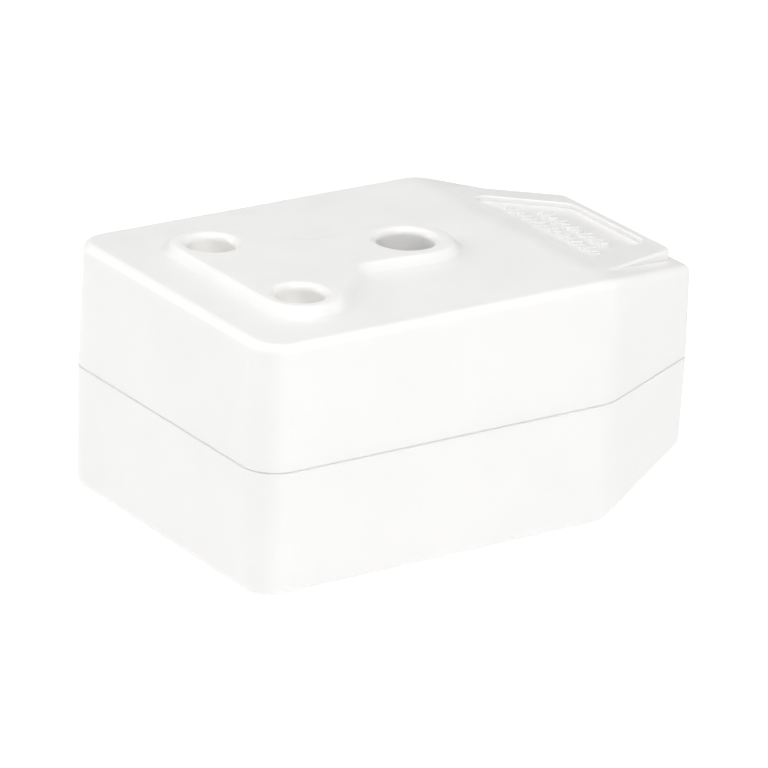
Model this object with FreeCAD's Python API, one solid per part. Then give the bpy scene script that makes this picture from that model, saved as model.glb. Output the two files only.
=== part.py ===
"""A double-faced in-line mains socket coupler for plugs with three round pins.

Two white moulded shells meet at mid-height.  Each outer face carries one socket: two pole holes
and a larger earth hole in a raised pad.  The lower socket is turned end for end, so that the long
earth pins of two plugs pass beside each other.  The cable enters at the narrow nose.

Millimetres.  +X runs from the socket end to the cable nose, +Z is up, and the origin is under the
middle of the coupler, on the surface that it stands on.
"""
import FreeCAD
import Part
import math
import os

V = FreeCAD.Vector
same = 0.001                # two heights or lengths this near are the same

# ---------------------------------------------------------------- driving sizes: outer body
body_length = 90.0          # at the parting plane
body_width = 57.7           # at the parting plane
main_height = 41.4          # between the two flat outer faces
draft = 0.4                 # each side leans in by this much from the parting plane to a face
corner_radius = 5.5         # upright corners at the socket end
nose_length = 23.8          # stretch over which the sides taper
nose_end_width = 35.2
nose_drop = 5.2             # each face falls by this much from the start of the nose to its end
shoulder_radius = 8.0       # upright edge where the taper starts
nose_corner_radius = 2.0
crease_radius = 25.0        # soft bend between a flat face and its slope
edge_radius = 1.4           # rounding of the outer faces' edges
parting_chamfer = 0.22      # small bevel on both shells that makes the parting line

# ---------------------------------------------------------------- driving sizes: pin pattern
pole_spacing = 25.4
earth_distance = 28.58      # from the line of the poles
pole_line_inset = 16.6      # from the socket end to the upper socket's poles
pole_pin_radius = 3.53
pole_pin_length = 18.64
earth_pin_radius = 4.355
earth_pin_length = 28.58
pole_hole_clearance = 0.32  # all round the pin
earth_hole_clearance = 0.345
hole_rim_radius = 1.2

# ---------------------------------------------------------------- driving sizes: raised pad
pad_height = 1.4
pad_pole_margin = 3.8       # from a pole hole to the foot of the pad's slope
pad_earth_margin = 4.15     # from the earth hole to the foot of the pad's slope
pad_sunk = 0.3              # of the slope below the face, so that its foot is a clear edge
pad_inner_radius = 1.3
pad_edge_radius = 1.0
pad_foot_radius = 0.8

# ---------------------------------------------------------------- driving sizes: nose panel
panel_end_gap = 2.5         # from the end face
panel_start_width = 47.8
panel_sink = 0.02           # of its top below the bend's tangent, so that it comes out without a step
panel_side_slope = 0.44     # the panel's sides close in by this much per millimetre
panel_drop_slope = 0.12     # fall of the panel's top per millimetre
panel_corner_radius = 2.0
panel_edge_radius = 0.4
recess_start_gap = 2.9      # from the start of the panel
recess_end_gap = 2.0        # from the end of the panel
recess_start_width = 35.0
recess_side_slope = 0.46
recess_depth = 0.9
recess_corner_radius = 2.4
recess_edge_radius = 0.2
mark_height = 0.4           # raised bars on the floor of the recess
mark_stroke = 0.7
mark_pitch = 1.7
mark_reach = 1.3
mark_short_share = 0.6      # reach of every other bar
mark_edge_radius = 0.1
mark_rows = [(4.7, 15), (9.0, 11)]  # distance from the recess's start, and count of bars

# ---------------------------------------------------------------- driving sizes: shells
side_wall = 2.6
face_wall = 2.6
tongue_inset = 0.9
tongue_width = 0.8
tongue_height = 1.2
tongue_clearance = 0.1
boss_radius = 4.4
boss_side = 7.05            # boss axis from the body's side at the parting plane
boss_end_inset = 7.5        # socket-end bosses from the end face
boss_mid_inset = 10.2       # nose bosses before the start of the taper

# ---------------------------------------------------------------- driving sizes: fasteners
shell_screw_radius = 1.5
shell_screw_head_radius = 2.9
shell_screw_head_height = 2.2
shell_screw_sink = 8.0      # depth of the screw seat below the lower face
shell_screw_bite = 11.0     # length in the upper boss
well_clearance = 0.2        # around the shell screws and their heads
guide_screw_radius = 1.1
guide_screw_head_radius = 1.9
guide_screw_head_height = 1.1
guide_screw_tip = 0.4       # past the inner face of the wall
clamp_screw_radius = 1.5
clamp_screw_head_radius = 2.6
clamp_screw_head_height = 2.0
terminal_screw_radius = 1.7
terminal_screw_head_radius = 2.6
terminal_screw_head_height = 2.2
terminal_screw_stand = 1.0  # head above the block
terminal_screw_gap = 0.3    # tip above the middle of the wire hole
screw_clearance = 0.05
drive_slot_width = 0.8
drive_slot_depth = 0.7
screw_toe_share = 0.4       # chamfer at a screw's tip, of its radius
screw_rim_share = 0.25      # chamfer round a screw's head, of its height

# ---------------------------------------------------------------- driving sizes: shutters
shutter_thickness = 2.0
shutter_gap = 0.15          # above and below the sliding shutter
shutter_cover = 0.45        # overlap of the shutter past a closed pole hole
shutter_corner_radius = 1.0
stem_width = 11.6
ramp_width = 8.4
ramp_wall = 1.8
ramp_pin_overlap = 0.155    # the ramp's low end stands this far inside the earth pin's side
spring_seat_depth = 5.4     # how far the ramp's spring face hangs below the shutter
spring_seat_length = 2.0
spring_length = 16.0
spring_wire_radius = 0.25
spring_radius = 1.9
spring_turns = 9
spring_seat_margin = 1.1    # of the seat past the coil
spring_drop = 0.4           # from the shutter's underside to the coil

# ---------------------------------------------------------------- driving sizes: guide plates
guide_thickness = 2.0
guide_hole_margin = 0.2     # wider than the face's own holes
guide_end_margin = 7.0      # past the pole line and past the earth hole
guide_side_gap = 0.2        # from the bosses on both sides
guide_slot_clearance = 0.5
guide_pad_radius = 2.3
guide_screw_edge = 2.4      # screw axis from the plate's side
barrier_thickness = 1.2
barrier_side_gap = 0.315    # from the earth sleeves' collars
barrier_gap = 1.6           # above the strips
strip_post_width = 2.8
strip_post_offset = 1.4     # from the middle of a pole strip, towards the earth strip
seat_gap = 0.05

# ---------------------------------------------------------------- driving sizes: contacts
strip_thickness = 1.2
pole_strip_width = 6.0
earth_strip_width = 7.0
earth_strip_ring = 1.65     # metal left around an earth sleeve
sleeve_bore_clearance = 0.03
pole_sleeve_wall = 0.94
earth_sleeve_wall = 0.9
pole_sleeve_depth = 8.7     # mouth below the pad's face
earth_sleeve_depth = 13.7
sleeve_floor = 1.2
sleeve_end_clearance = 0.5  # past the pin's tip
sleeve_slot_width = 0.8
sleeve_slot_depth = 7.0
sleeve_lead_in = 0.5
ring_groove_depth = 0.4
ring_groove_from_mouth = 3.0
ring_thickness = 0.75
ring_height = 1.0
ring_gap = 1.6
spigot_radius = 1.6
peened_head_radius = 2.4
peened_head_height = 0.5
collar_width = 0.55
collar_height = 0.8

# ---------------------------------------------------------------- driving sizes: terminals
terminal_length = 8.4
terminal_width = 7.0
terminal_height = 8.0
terminal_chamfer = 0.6
terminal_reach = 22.8       # middle of the blocks past the upper earth hole
wire_hole_radius = 1.7
wire_hole_height = 3.2
rivet_radius = 1.2
rivet_head_radius = 2.1
rivet_head_height = 0.7
rivet_depth = 1.3           # in the terminal block
rivet_offset = 2.3          # from the block's middle, towards the sockets
support_length = 3.0
support_width = 4.0

# ---------------------------------------------------------------- driving sizes: cord entry
cord_radius = 4.75
clamp_inset = 13.0          # middle of the clamp from the end face
clamp_length = 6.0
clamp_width = 26.0
clamp_crown = 2.25          # of the clamp above the cord
clamp_edge_radius = 1.5
clamp_open = 1.0            # clamp and saddle each stand this far from the parting plane
clamp_screw_side = 10.0
clamp_screw_bite = 9.0
grommet_bore_clearance = 0.45
grommet_wall = 1.9
grommet_flange_step = 1.5
grommet_flange_width = 1.2
grommet_end_wall = 0.9
grommet_length = 6.0
grommet_lip = 1.2
grommet_clearance = 0.1

# ---------------------------------------------------------------- worked out from the above
face_z = main_height / 2.0                  # flat face above the parting plane
pad_z = face_z + pad_height
stand_height = pad_z                        # parting plane above the table
roof_z = face_z - face_wall
end_x = body_length / 2.0
socket_x = -end_x
taper_x = end_x - nose_length
pole_y = pole_spacing / 2.0
line_a = socket_x + pole_line_inset         # upper poles, lower earth
line_b = line_a + earth_distance            # upper earth, lower poles
pattern_middle = (line_a + line_b) / 2.0
terminal_x = line_b + terminal_reach
clamp_x = end_x - clamp_inset
nose_slope = nose_drop / nose_length
crease_reach = crease_radius * math.tan(math.atan(nose_slope) / 2.0)
panel_lean = math.atan(panel_drop_slope)
panel_start = taper_x - crease_reach + crease_radius * math.sin(panel_lean)
panel_start_z = face_z - crease_radius * (1.0 - math.cos(panel_lean)) - panel_sink
recess_start = panel_start + recess_start_gap
recess_end = end_x - panel_end_gap - recess_end_gap
half_strip = strip_thickness / 2.0

pole_hole_radius = pole_pin_radius + pole_hole_clearance
earth_hole_radius = earth_pin_radius + earth_hole_clearance
pad_pole_radius = pole_hole_radius + pad_pole_margin + pad_sunk
pad_earth_radius = earth_hole_radius + pad_earth_margin + pad_sunk
earth_bore = earth_pin_radius + sleeve_bore_clearance
earth_sleeve_outer = earth_bore + earth_sleeve_wall

crossbar_reach = pole_hole_radius + shutter_cover
shutter_travel = 2.0 * crossbar_reach       # the crossbar clears the pole holes when it is open

shutter_top = roof_z - shutter_gap
shutter_bottom = shutter_top - shutter_thickness
guide_top = shutter_bottom - shutter_gap
guide_bottom = guide_top - guide_thickness
ramp_low_end = earth_pin_radius - ramp_pin_overlap
ramp_high_end = ramp_low_end - shutter_travel
spring_z = shutter_bottom - spring_drop - spring_radius - 2 * spring_wire_radius
spring_seat_low = shutter_bottom - spring_seat_depth
barrier_side = earth_sleeve_outer + collar_width + barrier_side_gap + barrier_thickness / 2.0
strip_post_side = pole_y - strip_post_offset

clamp_height = cord_radius - clamp_open + clamp_crown
grommet_bore_radius = cord_radius + grommet_bore_clearance
grommet_neck_radius = grommet_bore_radius + grommet_wall
grommet_flange_radius = grommet_neck_radius + grommet_flange_step

boss_y = body_width / 2.0 - boss_side
guide_half_y = boss_y - boss_radius - guide_side_gap
guide_screw_side = guide_half_y - guide_screw_edge
boss_places = [
    (socket_x + boss_end_inset, boss_y),
    (socket_x + boss_end_inset, -boss_y),
    (taper_x - boss_mid_inset, boss_y),
    (taper_x - boss_mid_inset, -boss_y),
]


# ---------------------------------------------------------------- basic shapes
def block(x0, x1, y0, y1, z0, z1):
    """Rectangular block between two corners."""
    return Part.makeBox(x1 - x0, y1 - y0, z1 - z0, V(x0, y0, z0))


def rod(radius, x, y, z0, z1):
    """Upright cylinder from z0 to z1."""
    return Part.makeCylinder(radius, z1 - z0, V(x, y, z0), V(0, 0, 1))


def bar(radius, y, z, x0, x1):
    """Cylinder along X from x0 to x1."""
    return Part.makeCylinder(radius, x1 - x0, V(x0, y, z), V(1, 0, 0))


def turned(profile, x, y):
    """Solid of revolution about the upright line through (x, y); profile is (radius, z) points."""
    points = [V(x + r, y, z) for r, z in profile]
    face = Part.Face(Part.makePolygon(points + points[:1]))
    return face.revolve(V(x, y, 0), V(0, 0, 1), 360)


def slab(profile, y0, y1):
    """Prism across Y; profile is (x, z) points."""
    points = [V(x, y0, z) for x, z in profile]
    face = Part.Face(Part.makePolygon(points + points[:1]))
    return face.extrude(V(0, y1 - y0, 0))


def rounded_wire(points, radii, z):
    """Closed wire through plan points, with an arc of the given radius at each."""
    count = len(points)
    edges = []
    starts = []
    ends = []
    middles = []
    for i in range(count):
        here = V(points[i][0], points[i][1], z)
        before = V(points[i - 1][0], points[i - 1][1], z)
        after = V(points[(i + 1) % count][0], points[(i + 1) % count][1], z)
        to_before = (before - here).normalize()
        to_after = (after - here).normalize()
        half = to_before.getAngle(to_after) / 2.0
        reach = radii[i] / math.tan(half)
        bisector = (to_before + to_after).normalize()
        centre = here + bisector * (radii[i] / math.sin(half))
        starts.append(here + to_before * reach)
        ends.append(here + to_after * reach)
        middles.append(centre - bisector * radii[i])
    for i in range(count):
        edges.append(Part.Arc(starts[i], middles[i], ends[i]).toShape())
        edges.append(Part.LineSegment(ends[i], starts[(i + 1) % count]).toShape())
    return Part.Wire(edges)


def plan_prism(points, radii, z0, z1):
    """Upright prism on a rounded plan outline."""
    return Part.Face(rounded_wire(points, radii, z0)).extrude(V(0, 0, z1 - z0))


# ---------------------------------------------------------------- outline of the body
def body_plan(inset):
    """Plan points of the body's outline, moved in by inset, and the radii of its corners."""
    half_width = body_width / 2.0 - inset
    half_end = nose_end_width / 2.0
    run = body_width / 2.0 - half_end
    length = math.hypot(nose_length, run)
    taper = run / nose_length
    shift = inset * length / nose_length
    kink_x = taper_x + (shift - inset) / taper
    tip_y = half_end + inset * taper - shift
    points = [
        (socket_x + inset, -half_width),
        (kink_x, -half_width),
        (end_x - inset, -tip_y),
        (end_x - inset, tip_y),
        (kink_x, half_width),
        (socket_x + inset, half_width),
    ]
    outer = [corner_radius, shoulder_radius, nose_corner_radius]
    radii = [max(r - inset, 0.5) for r in outer]
    return points, radii + radii[::-1]


def body_loft(inset, z0, z1, inset_top):
    """Solid between the outline inset at z0 and the outline inset_top at z1."""
    low = rounded_wire(*body_plan(inset), z0)
    high = rounded_wire(*body_plan(inset_top), z1)
    return Part.makeLoft([low, high], True, True)


def under_face(sink):
    """Everything below the face's profile, flat and then sloping, lowered by sink."""
    top = face_z - sink
    turn = math.atan(nose_slope)
    centre = V(taper_x - crease_reach, 0, top - crease_radius)
    flat_end = V(taper_x - crease_reach, 0, top)
    middle = centre + V(math.sin(turn / 2.0), 0, math.cos(turn / 2.0)) * crease_radius
    slope_start = centre + V(math.sin(turn), 0, math.cos(turn)) * crease_radius
    far = end_x + side_wall
    slope_end = V(far, 0, top - nose_slope * (far - taper_x))
    floor = -face_z
    back = socket_x - side_wall
    corners = [slope_end, V(far, 0, floor), V(back, 0, floor), V(back, 0, top), flat_end]
    edges = [Part.LineSegment(a, b).toShape() for a, b in zip(corners, corners[1:])]
    edges.append(Part.Arc(flat_end, middle, slope_start).toShape())
    edges.append(Part.LineSegment(slope_start, slope_end).toShape())
    face = Part.Face(Part.Wire(Part.__sortEdges__(edges)))
    face.translate(V(0, -body_width, 0))
    return face.extrude(V(0, 2 * body_width, 0))


def face_height(x):
    """Height of the outer face at x, leaving out the soft crease."""
    return face_z - nose_slope * max(x - taper_x, 0.0)


def outer_half():
    """Solid outer form of one half, without its pad and panel."""
    foot = body_loft(parting_chamfer, 0, parting_chamfer, 0)
    upper = body_loft(0, parting_chamfer, face_z + pad_height, draft)
    form = upper.common(under_face(0)).fuse(foot).removeSplitter()
    edges = []
    for edge in form.Edges:
        box = edge.BoundBox
        along_face = abs(box.ZMax - face_height(box.Center.x)) < 1.0 and box.ZMin > face_z / 2.0
        crease = box.YLength > body_width / 2.0 and abs(box.Center.x - taper_x) < crease_radius / 4.0
        upright = box.ZLength > nose_drop + 1.0
        if along_face and not crease and not upright:
            edges.append(edge)
    return form.makeFillet(edge_radius, edges)


# ---------------------------------------------------------------- pad and panel on each face
def pad(pole_x, earth_x):
    """Raised pad about the three holes, with a sloping side that is rounded at its top edge.

    Its outline runs straight across the socket end, round each pole hole, in along a 45 degree
    line to a neck, and out again along a line that touches the round about the earth hole.
    """
    away = 1.0 if earth_x > pole_x else -1.0
    r = pad_pole_radius
    diagonal = r / math.sqrt(2.0)
    corner = V(diagonal + (pole_y + diagonal - r), r, 0)
    earth = V(earth_distance, 0, 0)
    span = earth - corner
    lean = math.asin(pad_earth_radius / span.Length) - math.atan2(r, span.x)
    touch = earth + V(-math.sin(lean), math.cos(lean), 0) * pad_earth_radius
    leave = V(diagonal, pole_y + diagonal, 0)
    back = (leave - corner).normalize()
    ahead = (touch - corner).normalize()
    half = back.getAngle(ahead) / 2.0
    reach = pad_inner_radius / math.tan(half)
    bisector = (back + ahead).normalize()
    bend = corner + bisector * (pad_inner_radius / math.sin(half) - pad_inner_radius)
    turn = math.radians(22.5)

    def at(point, sign):
        return V(pole_x + away * point.x, sign * point.y, 0)

    edges = []
    for sign in (-1, 1):
        start = at(V(-r, pole_y, 0), sign)
        middle = at(V(-r * math.sin(turn), pole_y + r * math.cos(turn), 0), sign)
        turn_in = at(corner + back * reach, sign)
        turn_out = at(corner + ahead * reach, sign)
        edges.append(Part.Arc(start, middle, at(leave, sign)).toShape())
        edges.append(Part.LineSegment(at(leave, sign), turn_in).toShape())
        edges.append(Part.Arc(turn_in, at(bend, sign), turn_out).toShape())
        edges.append(Part.LineSegment(turn_out, at(touch, sign)).toShape())
    edges.append(Part.LineSegment(at(V(-r, pole_y, 0), -1), at(V(-r, pole_y, 0), 1)).toShape())
    tip = at(earth + V(pad_earth_radius, 0, 0), 1)
    edges.append(Part.Arc(at(touch, -1), tip, at(touch, 1)).toShape())
    face = Part.Face(Part.Wire(Part.__sortEdges__(edges)))
    face.translate(V(0, 0, face_z - face_wall / 2.0))
    solid = face.extrude(V(0, 0, pad_height + face_wall / 2.0))
    rim = [e for e in solid.Edges if e.BoundBox.ZMin > pad_z - 0.01]
    solid = solid.makeChamfer(pad_height + pad_sunk, rim)
    top = [e for e in solid.Edges if e.BoundBox.ZMin > pad_z - same]
    return solid.makeFillet(pad_edge_radius, top)


def trapezium(x0, x1, width0, slope):
    """Plan corners of a panel that narrows towards the nose."""
    half0 = width0 / 2.0
    half1 = half0 - slope * (x1 - x0)
    return [(x0, -half0), (x1, -half1), (x1, half1), (x0, half0)]


def panel_height(x):
    """Height of the panel's top plane at x."""
    return panel_start_z - panel_drop_slope * (x - panel_start)


def below_panel_plane(sink):
    """Everything below the panel's top plane, lowered by sink."""
    far = end_x + side_wall
    start_top = panel_height(panel_start) - sink
    profile = [(panel_start, start_top), (far, panel_height(far) - sink), (far, 0), (panel_start, 0)]
    return slab(profile, -body_width, body_width)


def panel():
    """Raised panel on the nose, flush with the face where it starts."""
    plan = trapezium(panel_start, end_x - panel_end_gap, panel_start_width, panel_side_slope)
    radii = [panel_corner_radius] * 4
    body = plan_prism(plan, radii, roof_z - nose_drop, face_z)
    body = body.common(below_panel_plane(0))
    rim = []
    for edge in body.Edges:
        box = edge.BoundBox
        at_top = box.ZMin > roof_z - nose_drop + 0.1 and box.ZLength < nose_drop * 0.8
        if at_top:
            rim.append(edge)
    return body.makeFillet(panel_edge_radius, rim)


def recess():
    """Shallow recess cut in the panel, its floor parallel to the panel."""
    plan = trapezium(recess_start, recess_end, recess_start_width, recess_side_slope)
    prism = plan_prism(plan, [recess_corner_radius] * 4, roof_z - nose_drop, pad_z)
    return prism.cut(below_panel_plane(recess_depth))


def on_slanted_plane(edge, sink):
    """Whether an edge lies in the panel's top plane, lowered by sink."""
    return all(abs(v.Z - panel_height(v.X) + sink) < same for v in edge.Vertexes)


def marks():
    """Two rows of plain raised bars on the recess's floor, long and short in turn."""
    half = mark_stroke / 2.0
    shapes = []
    for row_offset, count in mark_rows:
        row_x = recess_start + row_offset
        for i in range(count):
            y = (i - (count - 1) / 2.0) * mark_pitch
            reach = mark_reach if i % 2 else mark_reach * mark_short_share
            shapes.append(block(row_x - reach, row_x + reach, y - half, y + half, 0, face_z))
    sink = recess_depth - mark_height
    top = below_panel_plane(sink)
    bottom = below_panel_plane(recess_depth + face_wall / 2.0)
    bars = [shape.common(top).cut(bottom) for shape in shapes]
    return [b.makeFillet(mark_edge_radius, [e for e in b.Edges if on_slanted_plane(e, sink)]) for b in bars]


# ---------------------------------------------------------------- one shell
def cavity():
    """Hollow of one shell."""
    hollow = body_loft(side_wall, -1.0, face_z, side_wall + draft)
    return hollow.common(under_face(face_wall))


def pin_holes(pole_x, earth_x, margin, z0, z1):
    """The three pin holes, each wider than its nominal radius by margin."""
    return [
        rod(pole_hole_radius + margin, pole_x, pole_y, z0, z1),
        rod(pole_hole_radius + margin, pole_x, -pole_y, z0, z1),
        rod(earth_hole_radius + margin, earth_x, 0, z0, z1),
    ]


def shell(pole_x, earth_x):
    """Shell with its socket, before its joint, bosses and entry are cut."""
    form = outer_half().fuse(pad(pole_x, earth_x))
    foot = []
    for edge in form.Edges:
        box = edge.BoundBox
        flat = box.ZLength < 0.001 and abs(box.ZMin - face_z) < 0.001
        inside = abs(box.Center.y) < body_width / 2.0 - 6.0 and box.Center.x > socket_x + 5.0
        if flat and inside and box.XMax < taper_x - 5.0 and box.YLength < pole_spacing + 1.0:
            foot.append(edge)
    form = form.makeFillet(pad_foot_radius, foot)
    form = form.fuse(panel()).cut(recess())
    lip = [e for e in form.Edges if on_slanted_plane(e, 0.0)
           and e.BoundBox.XMin > recess_start - same and e.BoundBox.XMax < recess_end + same]
    form = form.makeFillet(recess_edge_radius, lip).fuse(marks())
    form = form.cut(pin_holes(pole_x, earth_x, 0.0, 0, pad_z + 1.0))
    rims = []
    for edge in form.Edges:
        circle = len(edge.Vertexes) == 1 and abs(edge.BoundBox.ZMin - pad_z) < 0.001
        if circle and edge.BoundBox.ZLength < 0.001:
            rims.append(edge)
    form = form.makeFillet(hole_rim_radius, rims)
    form = form.cut(cavity())
    pads = []
    for side in (-1, 1):
        post = rod(guide_pad_radius, pattern_middle, side * guide_screw_side, guide_top, roof_z + 0.5)
        pads.append(post)
    form = form.fuse(pads)
    screws = [
        rod(guide_screw_radius + screw_clearance, pattern_middle, side * guide_screw_side,
            guide_top - 1.0, roof_z + face_wall / 3.0)
        for side in (-1, 1)
    ]
    return form.cut(screws)


def bosses():
    """Screw bosses that reach from the parting plane to the roof."""
    inside = body_loft(side_wall / 2.0, 0, face_z, side_wall / 2.0 + draft)
    posts = [rod(boss_radius, x, y, 0, roof_z + face_wall / 2.0) for x, y in boss_places]
    return [post.common(inside) for post in posts]


def joint_ring(clearance, height):
    """Ring that follows the outline in the middle of the side wall."""
    outer = body_loft(tongue_inset - clearance, 0, height, tongue_inset - clearance)
    inner_inset = tongue_inset + tongue_width + clearance
    inner = body_loft(inner_inset, -1.0, height + 1.0, inner_inset)
    return outer.cut(inner)


def entry_cut():
    """Stepped round opening in the end wall that grips the grommet."""
    neck = bar(grommet_neck_radius + grommet_clearance, 0, 0, end_x - 2 * side_wall, end_x + 1.0)
    seat_radius = grommet_flange_radius + grommet_clearance
    lip = bar(seat_radius, 0, 0, end_x - grommet_lip, end_x + 1.0)
    inner_seat = bar(seat_radius, 0, 0, end_x - 2 * side_wall, end_x - side_wall)
    return neck.fuse([lip, inner_seat])


def upper_shell():
    """Upper shell: groove, blind screw pilots and half of the cable entry."""
    form = shell(line_a, line_b).fuse(bosses())
    form = form.cut(joint_ring(tongue_clearance, tongue_height + tongue_clearance))
    pilots = [
        rod(shell_screw_radius + screw_clearance, x, y, -1.0, shell_screw_bite + 1.0)
        for x, y in boss_places
    ]
    return form.cut(pilots).cut(entry_cut()).removeSplitter()


def lower_shell():
    """Lower shell, built face up: tongue, screw wells, terminal supports and cord saddle."""
    form = shell(line_b, line_a).fuse(bosses())
    seat = face_z - shell_screw_sink
    wells = []
    for x, y in boss_places:
        wells.append(rod(shell_screw_radius + well_clearance, x, y, -1.0, face_z + 1.0))
        wells.append(rod(shell_screw_head_radius + well_clearance, x, y, seat, face_z + 1.0))
    form = form.cut(wells)
    supports = []
    support_x = terminal_x + rivet_radius
    for y in (-pole_y, 0.0, pole_y):
        half = support_width / 2.0
        top = half_strip + seat_gap
        supports.append(
            block(support_x, support_x + support_length, y - half, y + half, top, face_z - face_wall / 2.0)
        )
    half_x = clamp_length / 2.0
    half_y = clamp_width / 2.0
    saddle = block(clamp_x - half_x, clamp_x + half_x, -half_y, half_y, clamp_open, face_z)
    supports.append(saddle.common(under_face(face_wall / 2.0)))
    form = form.fuse(supports)
    groove = bar(cord_radius, 0, 0, clamp_x - clamp_length, clamp_x + clamp_length)
    bites = [
        rod(clamp_screw_radius + screw_clearance, clamp_x, side * clamp_screw_side, 0, clamp_screw_bite + 1.0)
        for side in (-1, 1)
    ]
    form = form.cut([groove] + bites)
    tongue = joint_ring(0.0, tongue_height)
    tongue.rotate(V(0, 0, 0), V(1, 0, 0), 180)
    rooted = body_loft(tongue_inset, 0, side_wall, tongue_inset).cut(
        body_loft(tongue_inset + tongue_width, -1.0, side_wall + 1.0, tongue_inset + tongue_width)
    )
    form = form.fuse([tongue.fuse(rooted)])
    return form.cut(entry_cut()).removeSplitter()


# ---------------------------------------------------------------- shutter parts of one socket
def shutter(pole_x, earth_x):
    """Sliding shutter: a crossbar over the pole holes, a stem, and a ramp under the earth hole."""
    away = 1.0 if earth_x > pole_x else -1.0
    half_y = pole_y + crossbar_reach

    def span(u0, u1, y0, y1, z0, z1):
        x0, x1 = sorted((pole_x + away * u0, pole_x + away * u1))
        return block(x0, x1, y0, y1, z0, z1)

    crossbar = span(-crossbar_reach, crossbar_reach, -half_y, half_y, shutter_bottom, shutter_top)
    stem_end = earth_distance + ramp_high_end
    half_stem = stem_width / 2.0
    stem = span(0, stem_end, -half_stem, half_stem, shutter_bottom, shutter_top)
    slope = [
        (ramp_high_end, shutter_top),
        (ramp_low_end, shutter_top - shutter_travel),
        (ramp_low_end - ramp_wall, shutter_top - shutter_travel),
        (ramp_high_end - ramp_wall, shutter_top),
    ]
    half_ramp = ramp_width / 2.0
    ramp = slab([(earth_x + away * u, z) for u, z in slope], -half_ramp, half_ramp)
    seat_u = stem_end - ramp_wall
    half_seat = spring_radius + spring_seat_margin
    seat = span(seat_u - spring_seat_length, seat_u, -half_seat, half_seat, spring_seat_low, shutter_top)
    web_x = earth_x + away * (ramp_high_end - ramp_wall)
    web_far = web_x + away * spring_seat_depth
    web = slab(
        [(web_x, shutter_bottom), (web_far, spring_seat_low), (web_x, spring_seat_low)],
        -barrier_thickness, barrier_thickness,
    )
    form = crossbar.fuse([stem, ramp, seat, web]).removeSplitter()
    upright = [
        e for e in form.Edges
        if abs(e.BoundBox.ZLength - shutter_thickness) < same
        and e.BoundBox.YLength < same
        and abs(abs(e.BoundBox.Center.y) - half_y) < same
    ]
    return form.makeFillet(shutter_corner_radius, upright)


def spring_span(pole_x, earth_x):
    """Ends of the return spring along X at rest: (fixed end, moving end)."""
    away = 1.0 if earth_x > pole_x else -1.0
    moving = earth_x + away * (ramp_high_end - ramp_wall - spring_seat_length)
    return moving - away * spring_length, moving


def return_spring(pole_x, earth_x):
    """Wire spring along X between the guide plate's lug and the shutter's seat."""
    fixed, moving = spring_span(pole_x, earth_x)
    start = min(fixed, moving) + 2 * spring_wire_radius
    length = spring_length - 4 * spring_wire_radius
    helix = Part.makeHelix(length / spring_turns, length, spring_radius)
    circle = Part.Wire(Part.Circle(V(spring_radius, 0, 0), V(0, 1, 0), spring_wire_radius).toShape())
    coil = Part.Wire(helix).makePipeShell([circle], True, True)
    coil.rotate(V(0, 0, 0), V(0, 1, 0), 90)
    coil.translate(V(start, 0, spring_z))
    return coil


def guide_plate(pole_x, earth_x):
    """Plate that holds the shutter up, with barriers between the poles and posts over the strips."""
    away = 1.0 if earth_x > pole_x else -1.0
    x0, x1 = sorted((pole_x - away * guide_end_margin, earth_x + away * guide_end_margin))
    plate = block(x0, x1, -guide_half_y, guide_half_y, guide_bottom, guide_top)
    fixed, moving = spring_span(pole_x, earth_x)
    slot_end = earth_x + away * (earth_hole_radius + guide_slot_clearance)
    half_slot = ramp_width / 2.0 + guide_slot_clearance
    s0, s1 = sorted((fixed, slot_end))
    slot = block(s0, s1, -half_slot, half_slot, guide_bottom - 1.0, guide_top + 1.0)
    earth_room = rod(earth_hole_radius + guide_hole_margin, earth_x, 0, guide_bottom - 1.0, guide_top + 1.0)
    plate = plate.cut([slot, earth_room])
    lug_x = sorted((fixed, fixed - away * spring_seat_length))
    lug = block(lug_x[0], lug_x[1], -half_slot, half_slot, spring_seat_low, guide_top)
    pieces = [lug]
    for side in (-1, 1):
        y0, y1 = sorted((side * (barrier_side - barrier_thickness / 2.0),
                         side * (barrier_side + barrier_thickness / 2.0)))
        pieces.append(block(x0, x1, y0, y1, barrier_gap, guide_top))
        y0, y1 = sorted((side * (strip_post_side - strip_post_width / 2.0),
                         side * (strip_post_side + strip_post_width / 2.0)))
        half = strip_post_width / 2.0
        pieces.append(block(pattern_middle - half, pattern_middle + half, y0, y1,
                            half_strip + seat_gap, guide_top))
    form = plate.fuse(pieces)
    holes = pin_holes(pole_x, earth_x, guide_hole_margin, guide_bottom - 1.0, guide_top + 1.0)[:2]
    for side in (-1, 1):
        holes.append(
            rod(guide_screw_radius + 2 * screw_clearance, pattern_middle, side * guide_screw_side,
                guide_bottom - 1.0, guide_top + 1.0)
        )
    return form.cut(holes).removeSplitter()


# ---------------------------------------------------------------- fasteners
def slotted_screw(radius, head_radius, head_height, tip_z, seat_z, x, y):
    """Screw with a round head above seat_z and its tip at tip_z, with a chamfered end and a slot."""
    toe = radius * screw_toe_share
    top = seat_z + head_height
    rim = head_height * screw_rim_share
    profile = [
        (0, tip_z), (radius - toe, tip_z), (radius, tip_z + toe), (radius, seat_z),
        (head_radius, seat_z), (head_radius, top - rim), (head_radius - rim, top), (0, top),
    ]
    form = turned(profile, x, y)
    half = drive_slot_width / 2.0
    slot = block(x - 2 * head_radius, x + 2 * head_radius, y - half, y + half, top - drive_slot_depth, top + 1.0)
    return form.cut(slot)


def guide_screws():
    """The two screws of one guide plate, built face up with their heads inside the coupler."""
    screws = []
    for side in (-1, 1):
        screw = slotted_screw(guide_screw_radius, guide_screw_head_radius, guide_screw_head_height,
                              -roof_z - guide_screw_tip, -guide_bottom, pattern_middle, side * guide_screw_side)
        screw.rotate(V(0, 0, 0), V(1, 0, 0), 180)
        screws.append(screw)
    return Part.makeCompound(screws)


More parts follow.
